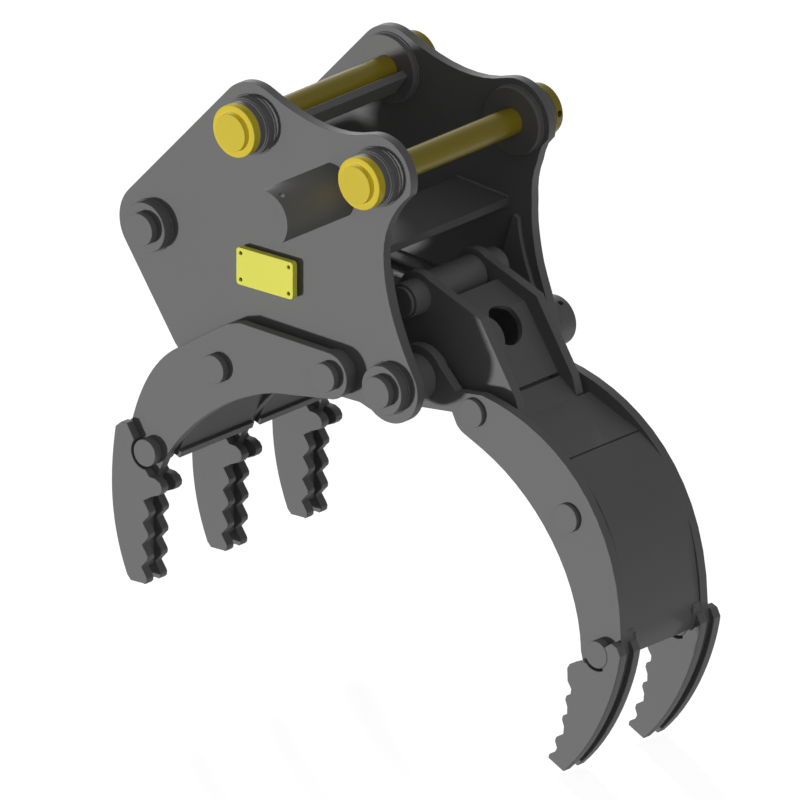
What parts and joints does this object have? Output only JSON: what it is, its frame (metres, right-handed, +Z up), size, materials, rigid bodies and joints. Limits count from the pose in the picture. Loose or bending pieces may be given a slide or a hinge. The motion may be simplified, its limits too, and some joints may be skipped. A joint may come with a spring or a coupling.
{
  "type": "hydraulic grab",
  "caption": "Excavator grab with two side plates, a fixed rear jaw of serrated tines and a front jaw closed by one hydraulic cylinder inside the body.",
  "frame": {"origin": "middle of the stick pin, by which the grab hangs", "axes": "+X from the rear jaw to the moving front jaw, +Y across the grab along the pins, +Z up"},
  "size_m": [1.444, 0.848, 1.503],
  "materials": {
    "body_paint": "satin dark grey paint on steel plate",
    "tip_steel": "grey painted wear steel",
    "yellow_paint": "satin yellow paint",
    "name_plate_yellow": "gloss yellow plate",
    "dark_paint": "dark grey paint",
    "bronze": "turned bronze",
    "bright_steel": "zinc plated or chromed steel"
  },
  "bodies": {
    "frame": {"side_plate_near": "body_paint", "side_plate_far": "body_paint", "pivot_doublers": "body_paint", "shelf_plate": "body_paint", "link_cross_plate": "body_paint", "back_plate": "body_paint", "stick_pin_bosses": "body_paint", "link_pin_bosses": "body_paint", "stick_pin": "yellow_paint", "link_pin": "yellow_paint", "stick_pin_cap": "yellow_paint", "link_pin_cap": "yellow_paint", "pin_cap_screws": "bright_steel", "base_pin": "body_paint", "base_pin_rings": "body_paint", "claw_pin": "body_paint", "claw_pin_rings": "body_paint", "hub_spacers": "body_paint", "rear_arm_near": "body_paint", "rear_arm_middle": "body_paint", "rear_arm_far": "body_paint", "jaw_front_pin": "body_paint", "jaw_rear_pin": "body_paint", "jaw_spacers": "body_paint", "jaw_web_near": "body_paint", "jaw_web_far": "body_paint", "rear_tip_near_outer": "tip_steel", "rear_tip_near_inner": "tip_steel", "rear_tip_middle_left": "tip_steel", "rear_tip_middle_right": "tip_steel", "rear_tip_far_inner": "tip_steel", "rear_tip_far_outer": "tip_steel", "rear_tip_pins": "body_paint", "name_plate": "name_plate_yellow", "name_plate_pad": "dark_paint", "name_plate_screws": "bright_steel", "hose_guard": "body_paint", "hose_ports": "bright_steel"},
    "claw": {"claw_arm_near": "body_paint", "claw_arm_far": "body_paint", "claw_hub": "body_paint", "claw_bushes": "bronze", "lever_near": "body_paint", "lever_far": "body_paint", "lever_pin": "body_paint", "lever_web": "body_paint", "upper_panel": "body_paint", "lower_panel": "body_paint", "upper_cross_tube": "body_paint", "middle_cross_tube": "body_paint", "front_tip_near_outer": "tip_steel", "front_tip_near_inner": "tip_steel", "front_tip_far_inner": "tip_steel", "front_tip_far_outer": "tip_steel", "front_tip_pins": "body_paint"},
    "rod": {"piston_rod": "bright_steel", "piston": "bronze"},
    "barrel": {"cylinder_barrel": "dark_paint", "cylinder_gland": "bright_steel"}
  },
  "joints": [
    {"name": "claw_hinge", "type": "hinge", "parent": "frame", "child": "claw", "pos_m": [0.034, 0, -0.511], "axis": [0, 1, 0], "range_deg": [0, 70]},
    {"name": "rod_pin", "type": "hinge", "parent": "claw", "child": "rod", "pos_m": [-0.005, 0, -0.335], "axis": [0, 1, 0], "range_deg": [-67.63, 0]},
    {"name": "barrel_slide", "type": "slide", "parent": "rod", "child": "barrel", "axis": [-0.9969, 0, 0.0783], "range_m": [0, 0.204]}
  ],
  "couplings": [
    {"joint": "rod_pin", "follows": "claw_hinge", "ratio": -0.959},
    {"joint": "barrel_slide", "follows": "claw_hinge", "m_per_rad": 0.16616}
  ]
}
